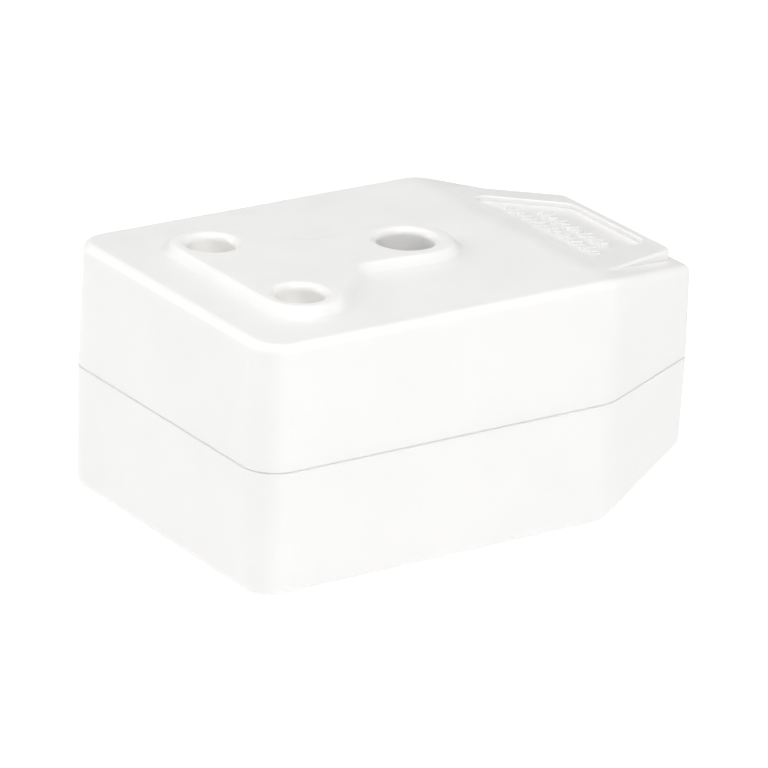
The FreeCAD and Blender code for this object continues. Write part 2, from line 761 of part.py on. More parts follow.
def shell_screws():
    """Four screws from the lower wells into the upper bosses, heads down."""
    seat = face_z - shell_screw_sink
    screws = []
    for x, y in boss_places:
        screw = slotted_screw(shell_screw_radius, shell_screw_head_radius, shell_screw_head_height,
                              -shell_screw_bite, seat, x, y)
        screw.rotate(V(0, 0, 0), V(1, 0, 0), 180)
        screws.append(screw)
    return Part.makeCompound(screws)


# ---------------------------------------------------------------- contacts
def sleeve(x, y, pin_radius, pin_length, wall, mouth_depth, foot_z):
    """Turned brass sleeve open at the top, slotted so that it springs, with a groove for its ring."""
    bore = pin_radius + sleeve_bore_clearance
    outer = bore + wall
    mouth = pad_z - mouth_depth
    floor = pad_z - pin_length - sleeve_end_clearance
    groove_top = mouth - ring_groove_from_mouth
    groove_low = groove_top - ring_height - 2 * seat_gap
    profile = [
        (0, foot_z), (outer, foot_z), (outer, groove_low), (outer - ring_groove_depth, groove_low),
        (outer - ring_groove_depth, groove_top), (outer, groove_top), (outer, mouth),
        (bore + sleeve_lead_in, mouth), (bore, mouth - sleeve_lead_in), (bore, floor), (0, floor),
    ]
    form = turned(profile, x, y)
    half = sleeve_slot_width / 2.0
    low = mouth - sleeve_slot_depth
    slots = [
        block(x - 2 * outer, x + 2 * outer, y - half, y + half, low, mouth + 1.0),
        block(x - half, x + half, y - 2 * outer, y + 2 * outer, low, mouth + 1.0),
    ]
    return form.cut(slots)


def pole_sleeve(x, y):
    """Pole sleeve with a spigot that is peened under its strip."""
    form = sleeve(x, y, pole_pin_radius, pole_pin_length, pole_sleeve_wall, pole_sleeve_depth, half_strip)
    spigot = rod(spigot_radius, x, y, -half_strip, half_strip)
    head = rod(peened_head_radius, x, y, -half_strip - peened_head_height, -half_strip)
    return form.fuse([spigot, head]).removeSplitter()


def earth_sleeve(x):
    """Earth sleeve that passes through its strip and rests on it with a collar."""
    foot = pad_z - earth_pin_length - sleeve_end_clearance - sleeve_floor
    form = sleeve(x, 0, earth_pin_radius, earth_pin_length, earth_sleeve_wall, earth_sleeve_depth, foot)
    collar = rod(earth_sleeve_outer + collar_width, x, 0, half_strip, half_strip + collar_height)
    middle_of_wall = earth_bore + earth_sleeve_wall / 2.0
    collar = collar.cut(rod(middle_of_wall, x, 0, 0, half_strip + 2 * collar_height))
    return form.fuse(collar).removeSplitter()


def spring_ring(x, y, pin_radius, wall, mouth_depth):
    """Split steel ring in a sleeve's groove."""
    inner = pin_radius + sleeve_bore_clearance + wall - ring_groove_depth + seat_gap
    top = pad_z - mouth_depth - ring_groove_from_mouth - seat_gap
    low = top - ring_height
    form = rod(inner + ring_thickness, x, y, low, top).cut(rod(inner, x, y, low - 1.0, top + 1.0))
    half = ring_gap / 2.0
    return form.cut(block(x, x + 2 * inner, y - half, y + half, low - 1.0, top + 1.0))


def sleeve_rings(pole_x, earth_x):
    """The three spring rings of one socket."""
    rings = [spring_ring(pole_x, side * pole_y, pole_pin_radius, pole_sleeve_wall, pole_sleeve_depth)
             for side in (-1, 1)]
    rings.append(spring_ring(earth_x, 0, earth_pin_radius, earth_sleeve_wall, earth_sleeve_depth))
    return Part.makeCompound(rings)


def rivet_hole(y, z0, z1):
    """Hole for a terminal's rivet."""
    return rod(rivet_radius + screw_clearance, terminal_x - rivet_offset, y, z0, z1)


def pole_strip(y):
    """Flat brass strip that joins one pole of both sockets to its terminal."""
    half = pole_strip_width / 2.0
    end = terminal_x + terminal_length / 2.0
    form = block(line_a, end, y - half, y + half, -half_strip, half_strip)
    rounds = rod(half, line_a, y, -half_strip, half_strip)
    holes = [rod(spigot_radius + screw_clearance, x, y, -strip_thickness, strip_thickness) for x in (line_a, line_b)]
    holes.append(rivet_hole(y, -strip_thickness, strip_thickness))
    return form.fuse(rounds).cut(holes).removeSplitter()


def earth_strip():
    """Flat brass strip with a ring about each earth sleeve."""
    half = earth_strip_width / 2.0
    end = terminal_x + terminal_length / 2.0
    form = block(line_a, end, -half, half, -half_strip, half_strip)
    rings = [rod(earth_sleeve_outer + earth_strip_ring, x, 0, -half_strip, half_strip) for x in (line_a, line_b)]
    holes = [rod(earth_sleeve_outer + screw_clearance, x, 0, -strip_thickness, strip_thickness) for x in (line_a, line_b)]
    holes.append(rivet_hole(0, -strip_thickness, strip_thickness))
    return form.fuse(rings).cut(holes).removeSplitter()


# ---------------------------------------------------------------- terminals
def terminal(y):
    """Brass pillar terminal: wire hole along X, clamping screw from above."""
    half_x = terminal_length / 2.0
    half_y = terminal_width / 2.0
    top = half_strip + terminal_height
    form = block(terminal_x - half_x, terminal_x + half_x, y - half_y, y + half_y, half_strip, top)
    upright = [e for e in form.Edges if abs(e.BoundBox.ZLength - terminal_height) < same]
    form = form.makeChamfer(terminal_chamfer, upright)
    wire_z = half_strip + wire_hole_height
    wire = bar(wire_hole_radius, y, wire_z, terminal_x - half_x - 1.0, terminal_x + half_x + 1.0)
    screw = rod(terminal_screw_radius + screw_clearance, terminal_x + rivet_radius, y, wire_z, top + 1.0)
    return form.cut([wire, screw, rivet_hole(y, 0, half_strip + rivet_depth)])


def terminal_screws():
    """Clamping screws of the three terminals."""
    top = half_strip + terminal_height
    tip = half_strip + wire_hole_height + terminal_screw_gap
    screws = [slotted_screw(terminal_screw_radius, terminal_screw_head_radius, terminal_screw_head_height,
                            tip, top + terminal_screw_stand, terminal_x + rivet_radius, y) for y in (-pole_y, 0, pole_y)]
    return Part.makeCompound(screws)


def terminal_rivets():
    """Rivets that fix the terminals to their strips from below."""
    rivets = []
    for y in (-pole_y, 0, pole_y):
        x = terminal_x - rivet_offset
        shank = rod(rivet_radius, x, y, -half_strip, half_strip + rivet_depth - seat_gap)
        head = rod(rivet_head_radius, x, y, -half_strip - rivet_head_height, -half_strip)
        rivets.append(head.fuse(shank).removeSplitter())
    return Part.makeCompound(rivets)


# ---------------------------------------------------------------- cord entry
def cord_clamp():
    """Moulded bar over the cord, with a half-round groove."""
    half_x = clamp_length / 2.0
    half_y = clamp_width / 2.0
    form = block(clamp_x - half_x, clamp_x + half_x, -half_y, half_y, clamp_open, clamp_open + clamp_height)
    top = clamp_open + clamp_height - same
    long_edges = [e for e in form.Edges if abs(e.BoundBox.XLength - clamp_length) < same and e.BoundBox.ZMin > top]
    form = form.makeFillet(clamp_edge_radius, long_edges)
    groove = bar(cord_radius, 0, 0, clamp_x - clamp_length, clamp_x + clamp_length)
    holes = [rod(clamp_screw_radius + 2 * screw_clearance, clamp_x, side * clamp_screw_side,
                 0, clamp_open + 2 * clamp_height)
             for side in (-1, 1)]
    return form.cut([groove] + holes)


def cord_clamp_screws():
    """Two screws from above, through the clamp into the saddle."""
    seat = clamp_open + clamp_height
    screws = [slotted_screw(clamp_screw_radius, clamp_screw_head_radius, clamp_screw_head_height,
                            -clamp_screw_bite, seat, clamp_x, side * clamp_screw_side) for side in (-1, 1)]
    return Part.makeCompound(screws)


def cable_grommet():
    """Soft bush in the end wall, with a flange inside and a lip flush with the nose."""
    start = end_x - grommet_length
    inner_face = end_x - side_wall - grommet_clearance
    flange_face = inner_face - grommet_flange_width
    shoulder = end_x - grommet_lip
    profile = [
        (grommet_bore_radius, start), (grommet_bore_radius + grommet_end_wall, start),
        (grommet_neck_radius, flange_face), (grommet_flange_radius, flange_face),
        (grommet_flange_radius, inner_face), (grommet_neck_radius, inner_face),
        (grommet_neck_radius, shoulder), (grommet_flange_radius, shoulder),
        (grommet_flange_radius, end_x), (grommet_bore_radius, end_x),
    ]
    points = [V(x, 0, r) for r, x in profile]
    face = Part.Face(Part.makePolygon(points + points[:1]))
    return face.revolve(V(0, 0, 0), V(1, 0, 0), 360)


# ---------------------------------------------------------------- placing and writing
def upright(shape):
    """Puts a piece built about the parting plane at its height."""
    shape.translate(V(0, 0, stand_height))
    return shape


def turned_over(shape):
    """Turns a piece built face up onto the lower face."""
    shape.rotate(V(0, 0, 0), V(1, 0, 0), 180)
    return upright(shape)


def build():
    """All pieces by node name."""
    parts = {
        "upper_shell": upright(upper_shell()),
        "lower_shell": turned_over(lower_shell()),
        "shell_screws": upright(shell_screws()),
        "live_strip": upright(pole_strip(-pole_y)),
        "neutral_strip": upright(pole_strip(pole_y)),
        "earth_strip": upright(earth_strip()),
        "live_terminal": upright(terminal(-pole_y)),
        "neutral_terminal": upright(terminal(pole_y)),
        "earth_terminal": upright(terminal(0)),
        "terminal_screws": upright(terminal_screws()),
        "terminal_rivets": upright(terminal_rivets()),
        "cord_clamp": upright(cord_clamp()),
        "cord_clamp_screws": upright(cord_clamp_screws()),
        "cable_grommet": upright(cable_grommet()),
    }
    sockets = [("upper", line_a, line_b, 1, upright), ("lower", line_b, line_a, -1, turned_over)]
    for name, pole_x, earth_x, flip, place in sockets:
        parts[name + "_shutter"] = place(shutter(pole_x, earth_x))
        parts[name + "_shutter_spring"] = place(return_spring(pole_x, earth_x))
        parts[name + "_guide_plate"] = place(guide_plate(pole_x, earth_x))
        parts[name + "_guide_screws"] = place(guide_screws())
        parts[name + "_sleeve_rings"] = place(sleeve_rings(pole_x, earth_x))
        parts[name + "_live_sleeve"] = place(pole_sleeve(pole_x, -flip * pole_y))
        parts[name + "_neutral_sleeve"] = place(pole_sleeve(pole_x, flip * pole_y))
        parts[name + "_earth_sleeve"] = place(earth_sleeve(earth_x))
    return parts


os.makedirs("parts", exist_ok=True)
for node, shape in build().items():
    shape.exportStep("parts/" + node + ".step")
    print(node, len(shape.Solids), "valid" if shape.isValid() else "NOT VALID", round(shape.Volume, 1))
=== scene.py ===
"""A double-faced in-line mains socket coupler on a pale floor.

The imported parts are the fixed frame.  The shells keep their CAD surfaces.  Other moulded, pressed
and turned parts are copies of theirs with rounded edges.  Wire, threads, rivets and the grommet are
surfaces worked out here.  Metres: +X runs to the cable nose, +Z is up.
"""
import math

import bmesh
import bpy
import numpy as np
from mathutils import Matrix, Vector


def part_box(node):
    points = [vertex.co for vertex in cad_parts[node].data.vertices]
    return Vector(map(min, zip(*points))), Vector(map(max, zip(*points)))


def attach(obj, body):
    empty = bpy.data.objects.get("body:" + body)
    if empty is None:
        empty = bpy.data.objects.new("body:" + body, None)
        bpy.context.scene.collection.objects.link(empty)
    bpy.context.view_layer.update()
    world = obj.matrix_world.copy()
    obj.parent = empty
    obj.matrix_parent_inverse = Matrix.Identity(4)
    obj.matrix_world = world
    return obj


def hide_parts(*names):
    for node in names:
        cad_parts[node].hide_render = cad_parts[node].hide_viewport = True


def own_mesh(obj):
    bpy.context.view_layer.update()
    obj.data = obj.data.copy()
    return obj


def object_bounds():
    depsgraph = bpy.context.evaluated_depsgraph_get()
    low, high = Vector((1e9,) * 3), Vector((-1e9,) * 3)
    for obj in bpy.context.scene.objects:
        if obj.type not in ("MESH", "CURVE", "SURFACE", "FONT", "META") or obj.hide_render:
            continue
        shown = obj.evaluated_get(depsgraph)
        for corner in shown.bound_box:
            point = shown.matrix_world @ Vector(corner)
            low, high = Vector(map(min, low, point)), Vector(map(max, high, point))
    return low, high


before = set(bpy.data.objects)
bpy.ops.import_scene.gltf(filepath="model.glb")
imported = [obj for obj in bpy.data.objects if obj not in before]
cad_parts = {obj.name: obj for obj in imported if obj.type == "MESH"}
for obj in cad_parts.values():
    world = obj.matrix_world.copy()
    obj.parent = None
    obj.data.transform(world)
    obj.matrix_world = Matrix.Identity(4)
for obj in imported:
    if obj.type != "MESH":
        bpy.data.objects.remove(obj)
cad_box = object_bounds()


# ---------------------------------------------------------------- lower shell
# The lower half of the casing, with its own socket face turned down.  It is injection moulded in
# white urea resin: a satin skin with a very fine grain, and faint clouds where the resin flowed.
mm = 0.001
flow_cloud = 14.0 * mm      # across a cloud in the resin's colour
pigment_speck = 0.5 * mm
polish_patch = 5.0 * mm     # across a patch that the mould left glossier or duller
skin_wave = 9.0 * mm        # across a slow wave in the skin
skin_wave_depth = 0.04 * mm
resin_ior = 1.5
resin_bleed = 1.2 * mm      # how far light spreads inside the white resin
weld = 0.0005 * mm          # points nearer than this are one point


def add_node(tree, kind, wires=None, **settings):
    """Adds a shader node; wires gives each input a value or another node's output."""
    made = tree.nodes.new(kind)
    for key, value in settings.items():
        setattr(made, key, value)
    for key, value in (wires or {}).items():
        if isinstance(value, bpy.types.NodeSocket):
            tree.links.new(value, made.inputs[key])
        else:
            made.inputs[key].default_value = value
    return made


def mottle(tree, grain, detail=2.0, stretch=(1.0, 1.0, 1.0)):
    """Noise from 0 to 1 in object space whose blotches are grain across, squeezed by stretch."""
    place = add_node(tree, "ShaderNodeTexCoord").outputs["Object"]
    scaled = add_node(tree, "ShaderNodeMapping", {"Vector": place, "Scale": stretch})
    wires = {"Vector": scaled.outputs["Vector"], "Scale": 1.0 / grain, "Detail": detail}
    return add_node(tree, "ShaderNodeTexNoise", wires).outputs["Fac"]


def spread(tree, value, low, high, start=0.3, end=0.7):
    """Carries a noise value from the range start..end to the range low..high."""
    wires = {"Value": value, "From Min": start, "From Max": end, "To Min": low, "To Max": high}
    return add_node(tree, "ShaderNodeMapRange", wires).outputs["Result"]


def two_tone(tree, share, tone, other):
    """Colour that runs from tone to other as share runs from 0 to 1."""
    wires = {"Factor": share, "A": (*tone, 1.0), "B": (*other, 1.0)}
    made = add_node(tree, "ShaderNodeMix", data_type="RGBA")
    for socket in made.inputs:
        if socket.name in wires and socket.type == ("VALUE" if socket.name == "Factor" else "RGBA"):
            if isinstance(wires[socket.name], bpy.types.NodeSocket):
                tree.links.new(wires[socket.name], socket)
            else:
                socket.default_value = wires[socket.name]
    return [s for s in made.outputs if s.type == "RGBA"][0]


def relief(tree, height, depth, strength, below=None):
    """Bump from a height field, laid over an earlier bump."""
    wires = {"Height": height, "Distance": depth, "Strength": strength}
    if below is not None:
        wires["Normal"] = below
    return add_node(tree, "ShaderNodeBump", wires).outputs["Normal"]


def new_finish(name):
    """Empty node material with its principled shader."""
    made = bpy.data.materials.new(name)
    made.use_nodes = True
    return made, made.node_tree, made.node_tree.nodes["Principled BSDF"]


def moulded_plastic(name, tone, flow_tone, roughness, grain, grain_depth, glow=0.0):
    """Moulded resin: flow clouds in the colour, a fine grain and slow waves in the skin."""
    made, tree, shader = new_finish(name)
    clouds = spread(tree, mottle(tree, flow_cloud, 3.0), 0.0, 1.0)
    specks = spread(tree, mottle(tree, pigment_speck, 1.0), 0.0, 0.25, 0.6, 0.75)
    share = add_node(tree, "ShaderNodeMath", {0: clouds, 1: specks}, operation="ADD", use_clamp=True)
    tree.links.new(two_tone(tree, share.outputs[0], tone, flow_tone), shader.inputs["Base Color"])
    polish = spread(tree, mottle(tree, polish_patch, 4.0), roughness - 0.04, roughness + 0.06)
    tree.links.new(polish, shader.inputs["Roughness"])
    waves = relief(tree, mottle(tree, skin_wave, 1.0), skin_wave_depth, 0.35)
    skin = relief(tree, mottle(tree, grain, 2.0), grain_depth, 0.6, waves)
    tree.links.new(skin, shader.inputs["Normal"])
    shader.inputs["IOR"].default_value = resin_ior
    shader.inputs["Subsurface Weight"].default_value = glow
    shader.inputs["Subsurface Radius"].default_value = (1.0, 0.95, 0.9)
    shader.inputs["Subsurface Scale"].default_value = resin_bleed
    return made


def finish_node(node, material):
    """Gives a CAD node's object its material."""
    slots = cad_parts[node].data.materials
    slots.clear()
    slots.append(material)


white_resin = moulded_plastic(
    "white_resin", (0.805, 0.802, 0.792), (0.785, 0.782, 0.772), 0.34, 0.22 * mm, 0.006 * mm, glow=0.5
)
finish_node("lower_shell", white_resin)


# ---------------------------------------------------------------- shutters
# A crossbar that blocks the two pole holes, on a stem whose ramp the long earth pin pushes aside.
# Each is one white moulding, and slides between the face of its shell and its guide plate.
shutter_round = 0.15 * mm
flat_within = math.radians(0.3)     # neighbouring triangles nearer to one plane than this are joined
edge_angle = math.radians(40.0)     # edges that turn more than this are rounded


def link_mesh(name, mesh, material, sharp_angle):
    """Object of a finished mesh with smooth shading up to a sharp angle."""
    mesh.shade_smooth()
    mesh.set_sharp_from_angle(angle=math.radians(sharp_angle))
    mesh.materials.clear()
    mesh.materials.append(material)
    made = bpy.data.objects.new(name, mesh)
    bpy.context.scene.collection.objects.link(made)
    return made


def rounded_copy(node, name, material, width, body="root", steps=2):
    """Copy of a CAD node that takes its place, its triangles joined and its sharp edges rounded."""
    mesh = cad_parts[node].data.copy()
    mesh.name = name
    join = bmesh.new()
    join.from_mesh(mesh)
    bmesh.ops.remove_doubles(join, verts=join.verts, dist=weld)
    bmesh.ops.dissolve_limit(
        join, angle_limit=flat_within, verts=join.verts, edges=join.edges, use_dissolve_boundaries=False
    )
    join.to_mesh(mesh)
    join.free()
    if mesh.attributes.get("custom_normal"):
        mesh.attributes.remove(mesh.attributes["custom_normal"])
    made = link_mesh(name, mesh, material, 30.0)
    rounding = made.modifiers.new("edges", "BEVEL")
    rounding.width = width
    rounding.segments = steps
    rounding.limit_method = "ANGLE"
    rounding.angle_limit = edge_angle
    rounding.use_clamp_overlap = True
    rounding.miter_outer = "MITER_ARC"
    rounding.harden_normals = False
    weighted = made.modifiers.new("normals", "WEIGHTED_NORMAL")
    weighted.keep_sharp = True
    weighted.weight = 60
    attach(made, body)
    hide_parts(node)
    return made


shutter_resin = moulded_plastic(
    "shutter_resin", (0.88, 0.86, 0.83), (0.86, 0.83, 0.79), 0.45, 0.3 * mm, 0.006 * mm
)
for side in ("upper", "lower"):
    shutter = rounded_copy(side + "_shutter", side + "_shutter_moulding", shutter_resin, shutter_round,
                           body=side + "_shutter")


# ---------------------------------------------------------------- shutter springs
# A compression spring of drawn steel wire behind each shutter.  Its end coils are closed up, so that
# it stands square between the guide plate's lug and the shutter's seat.
spring_turns = 9.0
closed_turns = 1.0
wire_radius = 0.25 * mm
wire_sides = 14


def drawn_wire(name):
    """Bare drawn steel: dark grey, with die lines and a thin film of oil."""
    made, tree, shader = new_finish(name)
    film = spread(tree, mottle(tree, 1.2 * mm, 3.0), 0.0, 1.0)
    tree.links.new(two_tone(tree, film, (0.42, 0.42, 0.44), (0.30, 0.30, 0.31)), shader.inputs["Base Color"])
    tree.links.new(spread(tree, mottle(tree, 0.3 * mm, 2.0), 0.22, 0.42), shader.inputs["Roughness"])
    tree.links.new(relief(tree, mottle(tree, 0.12 * mm, 2.0), 0.004 * mm, 0.5), shader.inputs["Normal"])
    shader.inputs["Metallic"].default_value = 1.0
    return made


def skin(name, grids, material, sharp_angle=40.0):
    """Object of closed surfaces, each a grid of points that closes on itself along its second side.

    Neighbouring rows are joined by quads.  Rows that have shrunk to a point close the ends.
    """
    points = []
    quads = []
    first = 0
    for grid in grids:
        rows, around = grid.shape[:2]
        row = np.arange(rows - 1)[:, None] * around
        here = np.arange(around)[None, :]
        following = (here + 1) % around
        corners = [row + here, row + following, row + around + following, row + around + here]
        quads.append(np.stack(corners, -1).reshape(-1, 4) + first)
        points.append(grid.reshape(-1, 3))
        first += rows * around
    mesh = bpy.data.meshes.new(name)
    mesh.from_pydata(np.concatenate(points).tolist(), [], np.concatenate(quads).tolist())
    join = bmesh.new()
    join.from_mesh(mesh)
    bmesh.ops.remove_doubles(join, verts=join.verts, dist=weld)
    bmesh.ops.recalc_face_normals(join, faces=join.faces)
    join.to_mesh(mesh)
    join.free()
    return link_mesh(name, mesh, material, sharp_angle)


def carried(path, section, up):
    """Section carried along a path.

    The point is path(s) plus section_x(v) times the side vector plus section_y(v) times up, where
    the side vector is square to the path and to up.  The first and last rows shrink to the path.
    """
    along = np.gradient(path, axis=0)
    along /= np.linalg.norm(along, axis=1, keepdims=True)
    side = np.cross(along, up)
    side /= np.linalg.norm(side, axis=1, keepdims=True)
    above = np.cross(side, along)
    grid = (path[:, None] + section[None, :, :1] * side[:, None] + section[None, :, 1:] * above[:, None])
    start = np.repeat(path[None, :1], section.shape[0], axis=1)
    end = np.repeat(path[None, -1:], section.shape[0], axis=1)
    return np.concatenate([start, grid, end])


def coil_path(length, radius, turns, closed, steps_per_turn=40):
    """Helix along X whose pitch is one wire at its closed ends and even in between."""
    turn = np.linspace(0.0, turns, int(turns * steps_per_turn) + 1)
    shut = 2.0 * wire_radius * closed
    open_pitch = (length - 2.0 * wire_radius - 2.0 * shut) / (turns - 2.0 * closed)
    rise = np.interp(
        turn, [0.0, closed, turns - closed, turns],
        [0.0, shut, shut + open_pitch * (turns - 2.0 * closed), length - 2.0 * wire_radius],
    )
    angle = 2.0 * math.pi * turn
    return np.stack([rise + wire_radius, radius * np.cos(angle), radius * np.sin(angle)], -1)


spring_wire = drawn_wire("spring_wire")
turn_angle = np.linspace(0.0, 2.0 * math.pi, wire_sides, endpoint=False)
round_section = wire_radius * np.stack([np.cos(turn_angle), np.sin(turn_angle)], -1)
for side, fixed_end in (("upper", 0), ("lower", 1)):
    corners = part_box(side + "_shutter_spring")
    middle = np.array((corners[0] + corners[1]) / 2.0)
    size = np.array(corners[1] - corners[0])
    centre_line = coil_path(size[0], size[2] / 2.0 - wire_radius, spring_turns, closed_turns)
    centre_line += (corners[0].x, middle[1], middle[2])
    tube = carried(centre_line, round_section, (1.0, 0.0, 0.0))
    spring = skin(side + "_return_spring", [tube], spring_wire)
    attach(spring, "root")
    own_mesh(spring)
    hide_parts(side + "_shutter_spring")


# ---------------------------------------------------------------- guide plates and their screws
# An off-white moulded plate backs each shutter and keeps the poles apart with two long barriers.
# Two self-tapping screws with slotted pan heads, plated with zinc, hold it to its shell.
guide_round = 0.25 * mm
guide_screw_radius = 1.1 * mm
guide_screw_head = (1.9 * mm, 1.1 * mm)
guide_screw_pitch = 0.8 * mm
guide_screw_point = 1.2 * mm
slot_half_width = 0.4 * mm
slot_depth = 0.7 * mm
head_power = 2.8            # 2 makes the head a half ball, and a high power makes it square
thread_share = 0.16         # depth of a thread as a share of its outer radius


def zinc_plate(name, tone, stain):
    """Bright zinc plate: cloudy passivation over fine turning marks."""
    made, tree, shader = new_finish(name)
    clouds = spread(tree, mottle(tree, 1.5 * mm, 4.0), 0.0, 1.0, 0.35, 0.75)
    tree.links.new(two_tone(tree, clouds, tone, stain), shader.inputs["Base Color"])
    tree.links.new(spread(tree, mottle(tree, 0.6 * mm, 3.0), 0.24, 0.44), shader.inputs["Roughness"])
    marks = mottle(tree, 0.25 * mm, 2.0, stretch=(0.3, 0.3, 4.0))
    tree.links.new(relief(tree, marks, 0.004 * mm, 0.5), shader.inputs["Normal"])
    shader.inputs["Metallic"].default_value = 1.0
    return made


def pan_head(radius, height):
    """Slotted pan head, sliced across its slot.

    Over a point at distance r from the axis the top stands (1 - (r / radius) ** p) ** (1 / p) of
    the height, and no higher than the slot's floor between the slot's walls.  Each slice is a
    closed loop: along the top with the sine of its angle, and back along the flat seat.
    """
    tilt = np.linspace(-math.pi / 2.0, math.pi / 2.0, 33)
    outside = radius * np.sin(tilt)
    outside = outside[np.abs(outside) > slot_half_width * 1.02]
    walls = np.array([-1.0, -1.0, 0.0, 1.0, 1.0]) * slot_half_width
    row = np.concatenate([outside[outside < 0], walls, outside[outside > 0]])
    in_slot = np.concatenate([np.zeros(np.sum(outside < 0)), [0, 1, 1, 1, 0], np.zeros(np.sum(outside > 0))])
    half_chord = np.sqrt(np.maximum(radius ** 2 - row ** 2, 0.0))
    sweep = np.linspace(-math.pi / 2.0, math.pi / 2.0, 25)
    over = half_chord[:, None] * np.sin(sweep)[None, :]
    share = np.clip(np.hypot(over, row[:, None]) / radius, 0.0, 1.0)
    top = height * (1.0 - share ** head_power) ** (1.0 / head_power)
    floor = np.where(in_slot[:, None] > 0, height - slot_depth, height)
    top = np.minimum(top, floor)
    back = over[:, ::-1][:, 1:-1]
    x = np.concatenate([over, back], 1)
    z = np.concatenate([top, np.zeros_like(back)], 1)
    y = np.repeat(row[:, None], x.shape[1], 1)
    return np.stack([x, y, z], -1)


def thread(radius, length, pitch, depth, point):
    """Threaded shank from z = 0 down to z = -length.

    The radius is the outer radius less depth times a wave that climbs one pitch in each turn; the
    wave fades out over the first pitch under the head, and the whole narrows over the point.
    """
    down = np.linspace(0.0, length, int(length / pitch * 10) + 2)
    angle = np.linspace(0.0, 2.0 * math.pi, 32, endpoint=False)
    phase = down[:, None] / pitch + angle[None, :] / (2.0 * math.pi)
    wave = np.abs(2.0 * (phase - np.floor(phase)) - 1.0)
    cut = depth * np.clip(wave * 1.5, 0.0, 1.0) * np.clip(down / pitch, 0.0, 1.0)[:, None]
    narrow = np.clip((length - down) / point, 0.0, 1.0)[:, None] ** 0.6
    reach = (radius - cut) * narrow
    x = reach * np.cos(angle)
    y = reach * np.sin(angle)
    z = np.repeat(-down[:, None], angle.size, 1)
    grid = np.stack([x, y, z], -1)
    return np.concatenate([np.repeat(np.zeros((1, 1, 3)), angle.size, axis=1), grid])


def place_screws(name, node, seats, head, shank, pitch, facing, material, point):
    """Screws that take a CAD node's place: pan heads on their seats and threads below them."""
    grids = []
    low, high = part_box(node)
    length = high.z - low.z - head[1]
    seat_z = high.z - head[1] if facing > 0 else low.z + head[1]
    for x, y in seats:
        for grid in (pan_head(*head), thread(shank, length, pitch, thread_share * shank, point)):
            grids.append(grid * (1.0, facing, facing) + (x, y, seat_z))
    screws = skin(name, grids, material, 35.0)
    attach(screws, "root")
    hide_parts(node)
    return screws


def row_in_box(node, radius, count):
    """Places of a row of like fasteners across Y that fill a CAD node's box."""
    low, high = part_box(node)
    x = (low.x + high.x) / 2.0
    return [(x, y) for y in np.linspace(low.y + radius, high.y - radius, count)]


guide_resin = moulded_plastic(
    "guide_resin", (0.72, 0.71, 0.67), (0.66, 0.65, 0.60), 0.5, 0.35 * mm, 0.008 * mm
)
zinc = zinc_plate("zinc_plate", (0.68, 0.70, 0.72), (0.60, 0.60, 0.55))
for side, facing in (("upper", -1), ("lower", 1)):
    plate = rounded_copy(side + "_guide_plate", side + "_guide", guide_resin, guide_round)
    node = side + "_guide_screws"
    place_screws(side + "_guide_tappers", node, row_in_box(node, guide_screw_head[0], 2), guide_screw_head,
                 guide_screw_radius, guide_screw_pitch, facing, zinc, guide_screw_point)


# ---------------------------------------------------------------- contact sleeves
# Turned brass tubes, slit crosswise from the mouth so that their four fingers spring on the pin.
# Fine rings from the lathe run round them, and handling has left the brass a little dull.
sleeve_round = 0.12 * mm


def worked_brass(name, grain, stretch, roughness):
    """Brass with tool marks along one direction and patches of light tarnish."""
    made, tree, shader = new_finish(name)
    tarnish = spread(tree, mottle(tree, 3.0 * mm, 5.0), 0.0, 1.0, 0.42, 0.75)
    tone = two_tone(tree, tarnish, (0.83, 0.62, 0.30), (0.62, 0.42, 0.19))
    tree.links.new(tone, shader.inputs["Base Color"])
    lines = mottle(tree, grain, 3.0, stretch)
    tree.links.new(spread(tree, lines, roughness - 0.08, roughness + 0.12), shader.inputs["Roughness"])
    tree.links.new(relief(tree, lines, 0.006 * mm, 0.6), shader.inputs["Normal"])
    shader.inputs["Metallic"].default_value = 1.0
    return made


turned_brass = worked_brass("turned_brass", 0.3 * mm, (0.05, 0.05, 3.0), 0.26)
for side in ("upper", "lower"):
    for pole in ("live", "neutral", "earth"):
        node = f"{side}_{pole}_sleeve"
        sleeve = rounded_copy(node, f"{side}_{pole}_contact_sleeve", turned_brass, sleeve_round)


# ---------------------------------------------------------------- spring rings
# A split ring of flat spring steel sits in a groove round each sleeve and closes its fingers on the
# pin.  Each is wound from strip with rounded edges, and its gap faces the cable.
ring_section = (0.75 * mm, 1.0 * mm)
ring_gap = 1.6 * mm
pole_groove_radius = 4.15 * mm
earth_groove_radius = 4.935 * mm
pole_ring_radius = pole_groove_radius + ring_section[0] / 2.0
earth_ring_radius = earth_groove_radius + ring_section[0] / 2.0


def flat_section(width, height, power=0.35, count=24):
    """Superellipse: cosine and sine raised to a power below one, which squares the round."""
    angle = np.linspace(0.0, 2.0 * math.pi, count, endpoint=False)
    x = np.sign(np.cos(angle)) * np.abs(np.cos(angle)) ** power * width / 2.0
    y = np.sign(np.sin(angle)) * np.abs(np.sin(angle)) ** power * height / 2.0
    return np.stack([x, y], -1)


def split_ring(radius):
    """Flat strip carried round an arc that leaves the gap open towards the cable."""
    open_half = math.asin(ring_gap / 2.0 / radius)
    angle = np.linspace(open_half, 2.0 * math.pi - open_half, 73)
    path = np.stack([radius * np.cos(angle), radius * np.sin(angle), np.zeros_like(angle)], -1)
    return carried(path, flat_section(*ring_section), (0.0, 0.0, 1.0))


